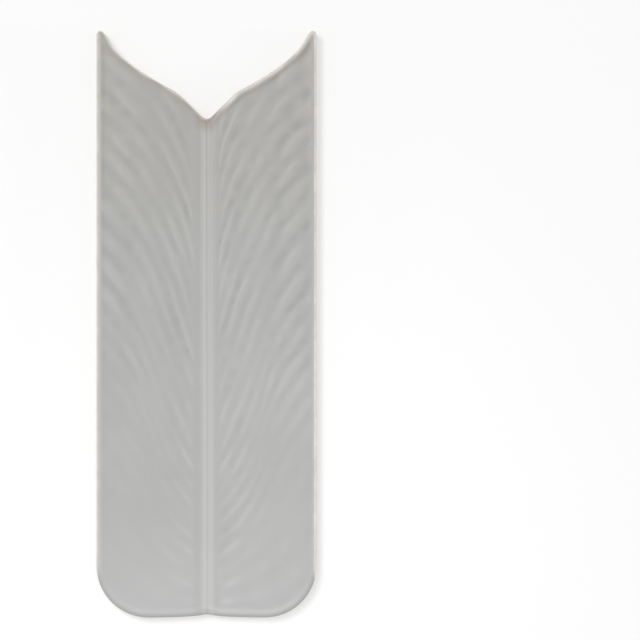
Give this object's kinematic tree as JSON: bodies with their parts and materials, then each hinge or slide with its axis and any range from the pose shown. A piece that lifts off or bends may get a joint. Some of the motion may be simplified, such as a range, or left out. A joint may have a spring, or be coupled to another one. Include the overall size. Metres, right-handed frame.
{
  "type": "wall tile",
  "caption": "Feather-shaped glazed ceramic wall tile with a forked end, rounded foot, raised shaft and barbs grooved in its vanes; its keyed back is bedded on a wall.",
  "frame": {"origin": "under the middle of the length and width, on the plane of the back", "axes": "+X across the tile, +Y from the rounded foot to the forked end, +Z out of the glazed front"},
  "size_m": [0.0762, 0.2032, 0.009],
  "materials": {
    "glaze": "satin-gloss pale grey glaze, thinner and buff along the rims"
  },
  "bodies": {
    "root": {"feather_tile": "glaze"}
  },
  "joints": []
}
